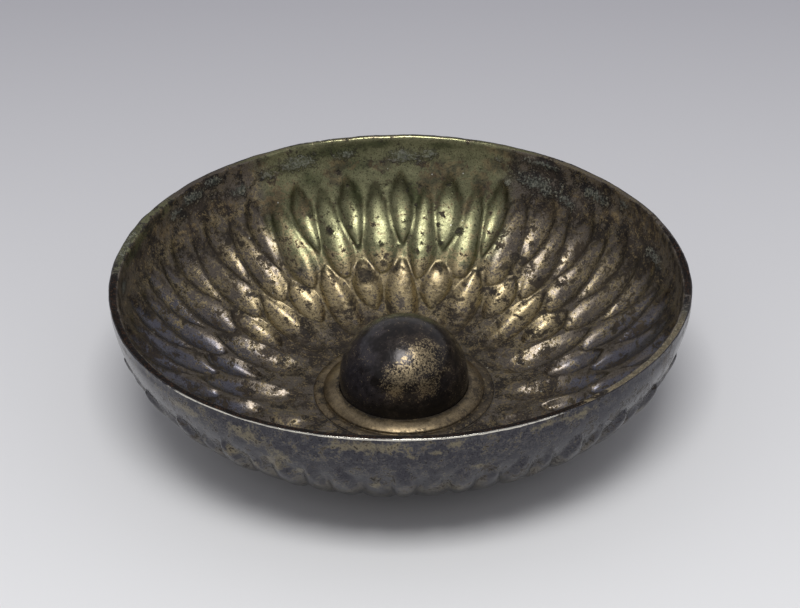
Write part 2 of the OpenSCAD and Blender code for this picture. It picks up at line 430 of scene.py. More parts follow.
def bowl_mesh():
    """Points of the bowl's grid and the fields that its material reads."""
    rows = bowl_rows()
    face, place, given_r, given_z = (np.array(column)[:, None] for column in zip(*rows))
    leaf_angle = np.array([ring_angles(row[1]) for row in rows])
    angle = FIRST_LEAF + leaf_angle
    on_wall = (face == OUT) | (face == IN)

    # The leaves drift a little sideways and along the wall, as hand-made ones do
    free = band(place, *FREE_LEAVES)
    sideways = drift(angle, place, *SIDEWAYS) * free
    along = drift(angle, place, *ALONG) * free
    drop, risen = leaf_relief(face, place, angle, leaf_angle)
    dents = drift(angle, place, *DENTS) * band(place, *DENTED)
    base_r, base_z, nr, nz = wall(np.where(on_wall, place + along, place))
    push = drop + dents - risen - np.where(face == IN, sheet(place, angle), 0.0)
    r = np.where(on_wall, base_r + nr * push, given_r)
    z = np.where(on_wall, base_z + nz * push, given_z)
    r, z = worn_lip(face, place, angle, r, z)

    fields = wall_fields(face, place, angle + sideways, drop, r, z)
    push = marks_push(face, place, angle, fields)
    r = r + push * nr
    z = z + push * nz * (face == IN)
    return warped(angle, np.radians(angle + sideways), r, z), fields


# Marks on the inside of the wall: angle, place down the wall, half-width in degrees, half-length
CRUSTS = (
    (88.8, 7.2, 4.4, 2.5), (82.8, 6.7, 1.6, 2), (113, 6.2, 5, 2.6), (120.2, 7.4, 2.2, 1.8),
    (102, 5.7, 2.4, 1.7), (67.3, 5.6, 1.2, 1), (57.5, 3.2, 5.5, 1.9), (57, 11, 6, 4),
    (64.7, 13.6, 1.5, 1.5), (140.6, 4.6, 4.5, 2.2), (233, 9, 9, 2.4), (212, 7, 5, 2),
    (18, 13, 4, 2.5), (300, 6, 5, 2), (128, 9.5, 3, 2.4), (134.5, 3, 3, 1.8),
    (147, 6.5, 2.6, 2), (176, 9, 3.5, 2), (42, 7, 4, 2.4), (49, 13.5, 3, 2.2),
    (33, 4, 2.5, 1.6), (224, 4.5, 7, 1.6), (246, 6, 5, 1.8), (330, 6, 6, 2),
)
STAINS = (
    (66, 2.4, 6, 2.2), (83.9, 15.2, 2.2, 3.4), (151.5, 8.4, 4.5, 3.5), (27, 4.5, 12, 4.5),
    (74, 24, 1.8, 3), (312, 5, 14, 3), (196, 10, 6, 4), (79, 11.5, 6, 4),
    (82, 18, 2.4, 6), (71, 15, 3, 5), (93, 10, 2.6, 2.6), (104, 13.5, 2.6, 3),
    (120, 17, 3.6, 5), (68, 8, 3.6, 3.6), (133, 12, 4, 4), (145, 14, 4, 3),
    (52, 18, 3, 4), (36, 11, 4, 3), (113, 22, 1.6, 4), (103, 9.5, 4, 3),
)
# Dark green patches
MOSSES = (
    (104, 4, 9, 3.2), (101, 9.5, 5, 3.6), (95, 3, 6, 2), (80, 3.2, 6, 1.6),
    (100, 20, 2, 6), (86, 20, 2, 6), (230, 5, 14, 4), (246, 5, 8, 4),
    (213, 6, 6, 4), (300, 8, 9, 3), (165, 4, 10, 3), (122, 24, 2.4, 5),
    (110, 12, 3, 4),
)
# Ochre patches of the outside: angle, place down the wall, half-width in degrees, half-length
OCHRES = (
    (263, 3, 8, 2.8), (272, 6.7, 1.6, 1.4), (276.8, 5.2, 2.4, 1.6), (280, 2.6, 2, 1.3),
    (244.4, 15, 3, 5), (239, 18.8, 3, 3), (250, 17.7, 2.5, 3), (264.7, 20.3, 1.6, 2),
    (279.5, 23.8, 3, 2), (284.8, 12.9, 1.7, 2), (294.7, 25.7, 3, 2), (297, 2, 3.5, 1.6),
    (305, 3, 6, 2.4), (240.6, 5.5, 5, 4.6), (246.6, 11, 3.6, 4), (235.6, 16.2, 3, 3),
    (226, 6, 5, 2.6), (20, 6, 8, 3), (60, 14, 4, 4), (95, 4, 10, 3),
    (130, 12, 5, 4), (165, 5, 8, 3), (200, 9, 6, 3), (335, 12, 4, 4),
    (350, 3, 7, 2),
)
# Deep pits of the inside: angle, place down the wall, radius
PITS = (
    (103.6, 11.4, 1.5), (93, 18.1, 0.9), (108.3, 32.7, 1.6), (103.1, 31.8, 1.2), (74.6, 32.4, 1.6),
    (101.9, 50.3, 2.9), (78.4, 47, 1.7), (82.8, 57.1, 1.4), (57.3, 38.4, 2.6), (59.2, 43.2, 1.8),
    (54.4, 31.5, 1.1), (119.3, 37.2, 0.9), (121, 40.5, 0.9), (130.8, 38, 1), (111.9, 25.3, 1.3),
    (88.8, 30.5, 0.8), (90.6, 41.1, 1.1), (95.7, 39.9, 1.1), (85.3, 39.8, 1), (78.9, 37.6, 1.1),
    (101.9, 39.6, 1.2), (95.4, 47.1, 1.3), (63, 36, 1), (128, 31, 1), (40, 41, 1.3),
    (147, 44, 1.2), (15, 33, 1.1), (250, 30, 1.5), (285, 42, 1.2), (320, 35, 1.4),
    (215, 38, 1.2),
)
NO_SPOT = -3.0
NO_PIT = -4.0

# Fields of the bowl's material, each a sum of zones: amount, mask, angles, places down the wall.
# A row stops early where the rest is ALL.
ALL = None
ZONES = {
    "inside": (
        (1, "inside"),
        (0.9, "lip_top", WARM_LIP),
    ),
    "green": (
        (1, "inside", BACK, (-6, 46, 8)),
        (0.36, "inside", FRONT, (2, 20, 7)),
        (0.9, "lip_top", (163, 17, 9)),
        (0.8, "inside", (160, 14, 5), (-6, 5, 3)),
        (0.4, "lip_top", (331, 20, 8)),
        (0.8, "lip_top", (92, 36, 8)),
    ),
    "gold": (
        (0.28, "inside", ALL, (42, 66, 8)),
        (0.46, "inside", (90, 62, 24), (42, 66, 8)),
        (0.42, "inside", ALL, (66, BELOW, 4)),
        (0.14, "inside", ALL, (18, 40, 8)),
        (0.34, "inside", GOLD_RIGHT, (18, 40, 8)),
        (0.32, "inside", GOLD_LEFT, (18, 40, 8)),
        (0.10, "inside", FRONT, (18, 40, 8)),
        (0.34, "inside", GOLD_RIGHT, (3, 18, 4)),
        (0.46, "inside", GOLD_LEFT, (3, 18, 4)),
        (0.35, "lip_top", (92, 44, 10)),
        (0.7, "lip_top", (36, 20, 8)),
        (1.1, "lip_top", WARM_LIP),
        (0.06, "outside"),
        (0.10, "outside", ALL, (0.5, 8, 4)),
        (0.30, "outside", ALL, (46, 72, 8)),
    ),
    "slate": (
        (0.95, "outside"),
        (0.78, "leaf_body", (194, 44, 22), (ABOVE, 62, 6)),
        (0.78, "leaf_body", (338, 44, 22), (ABOVE, 62, 6)),
    ),
    "dark": (
        (0.10, "inside", elsewhere((93, 32, 8)), (-6, 14, 6)),
        (0.06, "inside", (24, 44, 14), (-6, 20, 8)),
        (0.13, "inside", ALL, (64, BELOW, 6)),
        (0.07, "inside", BACK, (64, BELOW, 6)),
        (0.04, "inside", FRONT, (64, BELOW, 6)),
        (0.22, "inside", elsewhere(BACK)),
        (0.06, "inside"),
        (0.08, "inside", elsewhere(BACK), (9, 24, 5)),
        (0.24, "inside", (143, 20, 8), (-6, 13, 4)),
        (0.16, "inside", (106, 50, 15), (62, BELOW, 4)),
        (0.10, "inside", (40, 24, 8), (-6, 16, 6)),
        (1.1, "dull"),
        (0.02, "outside"),
        (0.12, "outer_groove"),
        (0.20, "outside", (322, 26, 14)),
    ),
    "ridge": (
        (0.35, "ridge"),
        (0.65, "ridge", (93, 50, 14)),
    ),
    "edge": (
        (0.28, "lip_edge"),
        (0.72, "lip_edge", (262, 38, 9)),
        (0.3, "lip_edge", (85, 60, 12)),
    ),
    "dull": ((1, "dull"),),
    "matt": (
        (0.85, "inside", ALL, (-6, 14, 5)),
        (0.15, "inside", (93, 34, 8), (-6, 14, 5)),
        (0.15, "inside", ALL, (67, BELOW, 5)),
    ),
    # Painted shade: darker on the sloping sides of the leaves, less on the low leaves at the back, and
    # across the tops of the upper leaves, more at the back
    "flank": (
        (1, "leaf_side", ALL, (UPPER_TOP + 3, WALL_LENGTH - 5, 4)),
        (-0.5, "leaf_side", BACK, (50, WALL_LENGTH - 5, 4)),
        (0.25, "leaf_middle", ALL, (14, 22, 4)),
        (0.45, "leaf_middle", BACK, (14, 22, 4)),
    ),
    "lobe": ((1, "outside", ALL, (21, 60, 6)),),
    "pitted": (
        (0.2, "inside", ALL, (14, 60, 10)),
        (0.8, "inside", (85, 80, 30), (14, 60, 10)),
    ),
}
# Crusty stretches: starting level and a sum of zones
CRUST_STRETCHES = (
    (-3.1, (
        (2.9, "inside", (140, 17, 5), (2, 12, 4)),
        (2.9, "inside", (45, 17, 6), (2, 12, 4)),
    )),
    (-0.75, ((0.9, "lip_top", (331, 18, 6)),)),
    (-0.85, ((1, "lip_top", (170, 11, 3)),)),
)


def spot_depth(angle, place, spots):
    """How far inside the nearest oval spot a point is: 1 in a middle, 0 at an edge, below 0 outside."""
    best = np.full(np.broadcast(angle, place).shape, NO_SPOT)
    for centre, at, half, length in spots:
        away = np.hypot(turn_gap(angle, centre) / half, (place - at) / length)
        best = np.maximum(best, 1.0 - away)
    return best


def pit_depth(angle, place):
    """The same for the round pits, in millimetres."""
    radius = np.interp(place, outline_s, outline_r)
    best = np.full(np.broadcast(angle, place).shape, NO_PIT)
    for centre, at, size in PITS:
        away = np.hypot(np.radians(turn_gap(angle, centre)) * radius, place - at)
        best = np.maximum(best, size - away)
    return best


def wall_masks(face, place, angle, drop, r, z):
    """Which face and which part of a leaf each point is on, from 0 to 1."""
    lip = (face == LIP).astype(float)
    floor = face == FLOOR
    from_rim = (RIM_R - r) / (1.0 - THIN_BACK * thin_lip(angle))
    inner = smooth(from_rim, 2.0, 2.6)
    outer = smooth(r, RIM_R - 0.5, RIM_R - 0.15)
    inside = ((face == IN) | (floor & (z > UNDERSIDE_Z))) + lip * inner
    outside = ((face == OUT) | (floor & (z <= UNDERSIDE_Z))) + lip * outer
    lip_top = lip * (1.0 - inner) * (1.0 - outer)
    dull = lip_top
    for zone in RUBBED_LIP:
        dull = dull * (1.0 - around(angle, *zone))
    groove = band(place, UPPER_TOP + 4.0, WALL_LENGTH - 6.0, 5.0) * np.exp(-(drop / 0.30) ** 2)
    lip_edge = lip * smooth(r, RIM_R - 0.28, RIM_R - 0.12) * smooth(z, BOWL_H - 0.7, BOWL_H - 0.4)
    return {
        "inside": inside, "outside": outside, "lip_top": lip_top, "lip_edge": lip_edge, "dull": dull,
        "leaf_body": inside * smooth(drop, 0.1, 0.9),
        "leaf_middle": inside * smooth(drop, 0.2, 0.8),
        "leaf_side": inside * np.exp(-((drop - 0.40) / 0.42) ** 2),
        "ridge": inside * groove * (1.0 - 0.7 * smooth(place, 44.0, 52.0)),
        "outer_groove": outside * groove,
    }


def zone_sum(rows, masks, angle, place):
    """One field from its zones."""
    total = 0.0
    for amount, mask, *zones in rows:
        angles, places = (zones + [ALL, ALL])[:2]
        one = amount * masks[mask]
        if angles is not ALL:
            one = one * around(angle, *angles)
        if places is not ALL:
            one = one * band(place, *places)
        total = total + one
    return total


def mottled_field(masks, angle, place):
    """How strongly dark blots and bright flecks show on the inside."""
    upper = around(angle, *elsewhere((93.0, 30.0, 10.0))) * band(place, -6.0, 20.0, 6.0)
    lower = 0.8 * smooth(place, 56.0, 68.0)
    back = 0.75 * around(angle, *BACK) * smooth(place, 42.0, 52.0)
    return masks["inside"] * np.maximum(0.22 + 0.78 * np.maximum(upper, lower), back)


def crust_field(masks, angle, place):
    """Single crusts and crusty stretches."""
    crust = np.where(masks["inside"] > 0.5, spot_depth(angle, place, CRUSTS), NO_SPOT)
    for level, rows in CRUST_STRETCHES:
        crust = np.maximum(crust, zone_sum(rows, masks, angle, place) + level)
    return crust


def wall_fields(face, place, angle, drop, r, z):
    """Where the bronze is green, golden, slate grey, dark or crusted, mostly from 0 to 1."""
    masks = wall_masks(face, place, angle, drop, r, z)
    inside = masks["inside"] > 0.5
    outside = masks["outside"] > 0.5
    inside_or_lip = masks["inside"] + masks["lip_top"] > 0.5
    fields = {name: zone_sum(rows, masks, angle, place) for name, rows in ZONES.items()}
    fields["mottled"] = mottled_field(masks, angle, place)
    fields["crust"] = crust_field(masks, angle, place)
    fields["ochre"] = np.where(outside, spot_depth(angle, place, OCHRES), NO_SPOT)
    fields["moss"] = np.where(inside_or_lip, spot_depth(angle, place, MOSSES), NO_SPOT)
    fields["stain"] = np.where(inside, spot_depth(angle, place, STAINS), NO_SPOT)
    fields["pit"] = np.where(inside, pit_depth(angle, place), NO_PIT)
    shape = np.broadcast(angle, place).shape
    return {name: np.broadcast_to(value, shape).astype(float) for name, value in fields.items()}


def add_mesh(name, points, faces, fields=None):
    """A smooth-shaded object from points in millimetres, with named fields for its material."""
    mesh = bpy.data.meshes.new(name)
    mesh.from_pydata((points * MM).tolist(), [], faces)
    mesh.polygons.foreach_set("use_smooth", [True] * len(mesh.polygons))
    for field, values in (fields or {}).items():
        layer = mesh.attributes.new(field, "FLOAT", "POINT")
        layer.data.foreach_set("value", np.ascontiguousarray(values, np.float32).ravel())
    mesh.validate()
    mesh.update()
    piece = bpy.data.objects.new(name, mesh)
    bpy.context.scene.collection.objects.link(piece)
    return piece


def grid_faces(rows, columns, closed):
    """Faces of a grid that closes round its columns, and round its rows too if closed."""
    faces = []
    last = rows if closed else rows - 1
    for i in range(last):
        a = i * columns
        b = ((i + 1) % rows) * columns
        for j in range(columns):
            k = (j + 1) % columns
            faces.append((a + j, a + k, b + k, b + j))
    return faces


def make_bowl():
    points, fields = bowl_mesh()
    rows, columns = points.shape[:2]
    return add_mesh("bowl_shell", points.reshape(-1, 3), grid_faces(rows, columns, True), fields)


def lathe(name, outline, columns, uneven, seed):
    """A turned piece from an outline of (radius, height); radius 0 at an end closes it in a point."""
    outline = np.array(outline, float)
    poles = [end for end in (0, -1) if outline[end, 0] < TINY]
    first = 1 if 0 in poles else 0
    last = len(outline) - 1 if -1 in poles else len(outline)
    body = outline[first:last]
    angle = np.linspace(0.0, 360.0, columns, endpoint=False)[None, :]
    length = np.concatenate([[0.0], np.cumsum(np.hypot(*np.diff(body, axis=0).T))])[:, None]
    wobble = (blotches(angle, length, TURNING_CELL, seed, 3) - 0.5) * uneven
    direction = np.gradient(body, axis=0)
    direction = direction / np.maximum(np.hypot(direction[:, :1], direction[:, 1:]), TINY)
    r = body[:, :1] - direction[:, 1:] * wobble
    z = body[:, 1:] + direction[:, :1] * wobble
    turn = np.radians(angle)
    points = np.stack([r * np.cos(turn), r * np.sin(turn), z], -1).reshape(-1, 3)
    rows = len(body)
    faces = grid_faces(rows, columns, not poles)
    for end in poles:
        tip = len(points)
        points = np.vstack([points, [0.0, 0.0, outline[end, 1]]])
        ring = 0 if end == 0 else (rows - 1) * columns
        for j in range(columns):
            k = (j + 1) % columns
            faces.append((tip, ring + k, ring + j) if end == 0 else (tip, ring + j, ring + k))
    return add_mesh(name, points, faces)


def arc(radius, centre_z, start, end, count):
    a = np.radians(np.linspace(start, end, count))
    return [(radius * math.cos(t), centre_z + radius * math.sin(t)) for t in a]


def make_omphalos():
    ball_z = FOOT_Z + STRAIGHT_H
    foot = [
        (OMPHALOS_R, ball_z - 1.3), (OMPHALOS_R, ball_z - 2.6),
        (OMPHALOS_R, FOOT_TOP + FOOT_FILLET), (OMPHALOS_R + FOOT_FILLET, FOOT_TOP),
        (22.5, FOOT_TOP), (FOOT_R - FOOT_EDGE, FOOT_TOP), (FOOT_R, FOOT_TOP - FOOT_EDGE),
        (FOOT_R, FOOT_Z + FOOT_EDGE), (FOOT_R - FOOT_EDGE, FOOT_Z), (21.5, FOOT_Z),
        (HOLLOW_R + FOOT_EDGE, FOOT_Z), (HOLLOW_R, FOOT_Z + FOOT_EDGE), (HOLLOW_R, ball_z - 1.5),
    ]
    outline = [(0.0, ball_z + OMPHALOS_R)] + arc(OMPHALOS_R, ball_z, 88.5, 0.0, 60) + foot
    outline += arc(HOLLOW_R, ball_z, 1.0, 88.0, 40) + [(0.0, ball_z + HOLLOW_R)]
    return lathe("omphalos_dome", outline, *DOME_TURNING)


def bead(r0, crest, r1, edge, rise, count):
    """Top of a bead: an arc with its crest at a radius, over a straight outer edge."""
    radius = ((r1 - crest) ** 2 + rise ** 2) / (2.0 * rise)
    r = np.linspace(r0, r1, count)
    z = FOOT_Z + edge + rise - radius + np.sqrt(radius ** 2 - (r - crest) ** 2)
    return list(zip(r, z))


def make_collar():
    foot = FOOT_TOP - FOOT_Z
    step_crest = (BEAD_R + COLLAR_R) / 2.0
    outline = bead(COLLAR_IN, BEAD_CREST_R, BEAD_R, foot + BEAD_EDGE, BEAD_RISE, 18)
    outline += [(BEAD_R, FOOT_Z + BEAD_EDGE + 0.35), (BEAD_R + 0.05, FOOT_Z + BEAD_EDGE + 0.12)]
    outline += bead(BEAD_R, step_crest, COLLAR_R, BEAD_EDGE, STEP_RISE, 14)[1:]
    outline += [
        (COLLAR_R, FOOT_Z + 0.08), (COLLAR_R - 0.1, FOOT_Z), (26.5, FOOT_Z),
        (REBATE_R + COLLAR_EDGE, FOOT_Z), (REBATE_R, FOOT_Z + COLLAR_EDGE),
        (REBATE_R, FOOT_TOP - COLLAR_EDGE), (REBATE_R - COLLAR_EDGE, FOOT_TOP), (COLLAR_IN, FOOT_TOP),
    ]
    return lathe("collar_ring", outline, *COLLAR_TURNING)


class Nodes:
    """Short calls for a tree's nodes."""

    def __init__(self, tree):
        self.tree = tree

    def set(self, socket, value):
        if isinstance(value, bpy.types.NodeSocket):
            self.tree.links.new(value, socket)
        else:
            socket.default_value = value

    def add(self, kind, inputs=None, **settings):
        node = self.tree.nodes.new(kind)
        for name, value in settings.items():
            setattr(node, name, value)
        for key, value in (inputs or {}).items():
            self.set(node.inputs[key], value)
        return node

    def math(self, operation, a, b=0.0):
        return self.add("ShaderNodeMath", {0: a, 1: b}, operation=operation).outputs[0]

    def multiply_add(self, a, b, c):
        return self.add("ShaderNodeMath", {0: a, 1: b, 2: c}, operation="MULTIPLY_ADD").outputs[0]

    def vector(self, operation, a, b, output=0):
        return self.add("ShaderNodeVectorMath", {0: a, 1: b}, operation=operation).outputs[output]

    def times(self, first, *others):
        for other in others:
            first = self.math("MULTIPLY", first, other)
        return first

    def plus(self, *terms):
        """Sum of (socket, factor) or (socket, factor, centre) terms."""
        total = None
        for socket, factor, *centre in terms:
            one = self.multiply_add(socket, factor, -sum(centre) * factor)
            total = one if total is None else self.math("ADD", total, one)
        return total

    def ramp(self, value, low, high, to_low=0.0, to_high=1.0):
        inputs = {"Value": value, "From Min": low, "From Max": high, "To Min": to_low, "To Max": to_high}
        return self.add("ShaderNodeMapRange", inputs, interpolation_type="SMOOTHSTEP").outputs["Result"]

    def axes(self, place):
        return self.add("ShaderNodeSeparateXYZ", {0: place}).outputs[:]


class Surface(Nodes):
    """The nodes of a new material, in millimetres, with its noises as attributes."""

    def __init__(self, name, noises):
        self.material = bpy.data.materials.new(name)
        self.material.use_nodes = True
        super().__init__(self.material.node_tree)
        self.tree.nodes.clear()
        place = self.add("ShaderNodeTexCoord").outputs["Object"]
        scale = self.add("ShaderNodeVectorMath", {0: place, 3: 1.0 / MM}, operation="SCALE")
        self.place = scale.outputs[0]
        for key, row in noises.items():
            setattr(self, key, self.noise(*row))

    def field(self, name):
        return self.add("ShaderNodeAttribute", attribute_name=name).outputs["Fac"]

    def noise(self, size, detail, rough, shift, twist):
        """Cloud noise about 0.5."""
        place = self.vector("ADD", self.place, (shift, shift, shift))
        inputs = {"Vector": place, "Scale": 1.0 / size, "Detail": detail, "Roughness": rough}
        return self.add("ShaderNodeTexNoise", {**inputs, "Distortion": twist}).outputs["Fac"]

    def cells(self, size, shift, output):
        place = self.vector("ADD", self.place, (shift, shift, shift))
        return self.add("ShaderNodeTexVoronoi", {"Vector": place, "Scale": 1.0 / size}).outputs[output]

    def uneven(self, **gains):
        """Terms of the named noises about 0, each with a gain."""
        return [(getattr(self, key), gain, 0.5) for key, gain in gains.items()]

    def patch(self, base, low, high, factor=1.0, to=(0.0, 1.0), **gains):
        """A ramp of a field or socket that noises break up: it starts at low and is full at high."""
        if isinstance(base, str):
            base = self.field(base)
        return self.ramp(self.plus((base, factor), *self.uneven(**gains)), low, high, *to)

    def mix(self, factor, a, b):
        node = self.add("ShaderNodeMix", data_type="RGBA")
        for index, value in ((0, factor), (6, a), (7, b)):
            self.set(node.inputs[index], value + (1.0,) if isinstance(value, tuple) else value)
        return node.outputs[2]

    def over(self, colour, paint, *masks, cover=1.0):
        """A colour with a paint laid over it where all the masks are high."""
        share = self.times(*masks)
        if cover < 1.0:
            share = self.times(share, cover)
        return self.mix(share, colour, paint)

    def bump(self, height, depth):
        inputs = {"Height": height, "Distance": depth * MM, "Strength": 1.0}
        return self.add("ShaderNodeBump", inputs).outputs["Normal"]

    def finish(self, inputs):
        shader = self.add("ShaderNodeBsdfPrincipled", inputs)
        self.add("ShaderNodeOutputMaterial", {"Surface": shader.outputs["BSDF"]})
        return self.material


# Noises of the materials: size, detail, roughness, shift, distortion
BRONZE_NOISES = {
    "broad": (14, 3, 0.55, 0, 0),
    "cloud": (5, 6, 0.62, 40, 0),
    "clump": (2.2, 6, 0.66, 90, 0.4),
    "grain": (0.8, 4, 0.65, 150, 0),
    "dust": (0.45, 2, 0.6, 210, 0),
}
DOME_NOISES = {
    "cloud": (6, 6, 0.62, 20, 0),
    "clump": (2, 6, 0.68, 60, 0),
    "grain": (0.7, 4, 0.65, 120, 0),
    "dust": (0.4, 2, 0.6, 260, 0),
}
SOLDER_NOISES = {
    "cloud": (3, 4, 0.55, 0, 0),
    "grain": (0.5, 3, 0.6, 50, 0),
}
PAPER_NOISES = {"fibre": (0.8, 2, 0.55, 0, 0)}

# Colours of the bowl
BROWN = (0.166, 0.14, 0.112)
OLIVE = (0.28, 0.275, 0.152)
DEEP_OLIVE = (0.176, 0.175, 0.094)
GOLD = (0.42, 0.335, 0.184)
OCHRE = (0.215, 0.182, 0.122)
PALE_GOLD = (0.45, 0.405, 0.265)
SLATE = (0.126, 0.125, 0.148)
OUTER_SLATE = (0.055, 0.054, 0.063)
OUTER_GREY = (0.092, 0.089, 0.095)
LOBE_BROWN = (0.168, 0.15, 0.12)
PALE_OCHRE = (0.215, 0.19, 0.13)
BLACK = (0.013, 0.011, 0.011)
UMBER = (0.042, 0.032, 0.025)
TAN = (0.158, 0.11, 0.056)
# Painted shade on the sides and tops of the leaves
FLANK_SHADE_OLIVE = (0.072, 0.07, 0.035)
FLANK_SHADE_BROWN = (0.03, 0.025, 0.021)
MOSS = (0.066, 0.078, 0.034)
FLECK = (0.36, 0.27, 0.14)
RUST = (0.12, 0.062, 0.036)
SOOT = (0.008, 0.007, 0.006)
CRUST = (0.048, 0.056, 0.044)
PALE_CRUST = (0.205, 0.212, 0.178)
PIT_BROWN = (0.11, 0.09, 0.06)
BRIGHT_EDGE = (0.8, 0.76, 0.66)
GLINT = (0.66, 0.64, 0.56)

# Colours of the omphalos, the collar and the solder
DOME_BLACK = (0.016, 0.013, 0.012)
DOME_BROWN = (0.044, 0.034, 0.027)
DOME_BLUE = (0.048, 0.046, 0.062)
DOME_GOLD = (0.405, 0.322, 0.195)
# Painted shade towards the dome's foot
DOME_FOOT_SHADE = (0.02, 0.017, 0.014)
DOME_SPECK = (0.018, 0.015, 0.013)
COLLAR_BROWN = (0.15, 0.115, 0.07)
COLLAR_GOLD = (0.29, 0.222, 0.13)
# Painted highlight on the top of the collar's bead
COLLAR_CREST_HIGHLIGHT = (0.43, 0.35, 0.225)
COLLAR_DARK = (0.035, 0.027, 0.02)
COLLAR_SPECK = (0.03, 0.024, 0.02)
SOLDER_DARK = (0.045, 0.036, 0.028)
SOLDER_PALE = (0.13, 0.115, 0.095)

# Metal and roughness to start from
BOWL_METAL = 0.95
BOWL_BASE = 0.22
DOME_BASE = 0.25
COLLAR_BASE = 0.42
# Least and greatest roughness, depth of the bump, and gloss of what isn't metal
BOWL_ROUGH = (0.16, 0.95)
DOME_ROUGH = (0.14, 0.8)
COLLAR_ROUGH = (0.15, 0.8)
BOWL_BUMP = 0.20
DOME_BUMP = 0.14
COLLAR_BUMP = 0.1
SOLDER_BUMP = 0.05
BOWL_SPECULAR = 0.2
PAPER_SPECULAR = 0.1
# Pocks: cell, shift, rarity, sharpness, gain of the field pitted, start, full
SPECKS = (1.5, 33.0, 0.35, 1.0, 0.05, -0.02, 0.08)
HOLES = (4.2, 0.0, 0.60, 4.0, 1.0, -0.15, 0.35)
# Largest radius of a pock, as a share of its cell
POCK_SHARE = 0.36


def mottling(n):
    """Masks of dark blots and of bright flecks."""
    blots = n.ramp(n.plus(*n.uneven(cloud=1.6, clump=0.9, grain=0.6)), 0.02, 0.10)
    flecks = n.ramp(n.plus(*n.uneven(clump=1.0, grain=1.0, dust=0.6)), 0.09, 0.17)
    return blots, flecks


def pocks(n, size, shift, rare, sharp, pitted, low, high, **gains):
    """Round pocks of random radius in some of the cells, more where the field pitted is high."""
    radius = n.ramp(n.cells(size, shift, "Color"), rare, 1.0, 0.0, POCK_SHARE)
    depth = n.math("SUBTRACT", radius, n.cells(size, shift, "Distance"))
    terms = [(depth, sharp), *n.uneven(**gains), (n.field("pitted"), pitted, 1.0)]
    return n.ramp(n.plus(*terms), low, high)


def bowl_masks(n):
    """Where each kind of patina shows on the bowl."""
    m = SimpleNamespace(inside=n.field("inside"), dull=n.field("dull"), mottled=n.field("mottled"))
    m.slate = n.patch("slate", 0.25, 0.85, cloud=1.2, broad=0.6)
    m.green = n.patch("green", 0.20, 0.75, cloud=0.5, clump=0.3, broad=0.5)
    m.gold = n.patch("gold", 0.30, 0.64, cloud=2.0, clump=1.6, grain=1.4)
    m.dark = n.patch("dark", 0.30, 0.58, broad=1.2, cloud=2.6, clump=1.6, grain=1.2)
    m.wear = n.patch("ridge", 0.22, 0.60, factor=0.30, clump=0.8, grain=0.7)
    m.edge = n.patch("edge", 0.45, 0.85, clump=1.6)
    m.stain = n.patch("stain", -0.30, 0.50, cloud=2.0, clump=2.0, grain=1.8)
    m.ochre = n.patch("ochre", 0.0, 0.8, cloud=2.6, clump=2.0, grain=1.6)
    m.lobe = n.patch("lobe", 0.30, 0.9, factor=0.8, cloud=2.4, clump=1.6, grain=1.0)
    # Painted shade on the leaves' sides and tops
    m.flank = n.patch("flank", 0.15, 0.95, cloud=1.0, clump=1.0, grain=0.7)
    m.moss = n.patch("moss", -0.2, 0.8, cloud=2.0, clump=1.6, grain=1.2)
    crusty = n.plus((n.field("crust"), 1.0), *n.uneven(cloud=1.8, clump=2.6, grain=2.8))
    m.crust = n.ramp(crusty, 0.10, 0.80)
    m.crust_rim = n.math("SUBTRACT", n.ramp(crusty, -0.35, 0.10), m.crust)
    m.specks = pocks(n, *SPECKS, grain=0.6)
    holes = pocks(n, *HOLES, clump=2.0, grain=1.4)
    m.pits = n.math("MAXIMUM", holes, n.patch("pit", -0.10, 0.75, clump=3.4, grain=2.6))
    m.dusty = n.times(n.ramp(n.dust, 0.52, 0.66), n.ramp(m.inside, 0.0, 1.0, 0.4, 1.0))
    m.glint = n.ramp(n.cells(6.5, 77.0, "Distance"), 0.050, 0.020)
    m.blots, m.flecks = mottling(n)
    return m


def outer_colour(n, m):
    """Slate grey of the outside, browner on the leaves, with ochre patches."""
    colour = n.mix(n.patch(n.cloud, 0.38, 0.64, clump=0.8, grain=0.7), OUTER_SLATE, OUTER_GREY)
    colour = n.over(colour, BLACK, n.ramp(n.dust, 0.56, 0.68), cover=0.6)
    colour = n.over(colour, PALE_OCHRE, n.patch(n.grain, 0.57, 0.72, cloud=0.8), cover=0.6)
    colour = n.over(colour, LOBE_BROWN, m.lobe, cover=0.9)
    return n.over(colour, n.mix(n.ramp(n.clump, 0.4, 0.62), OCHRE, PALE_OCHRE), m.ochre, cover=0.8)


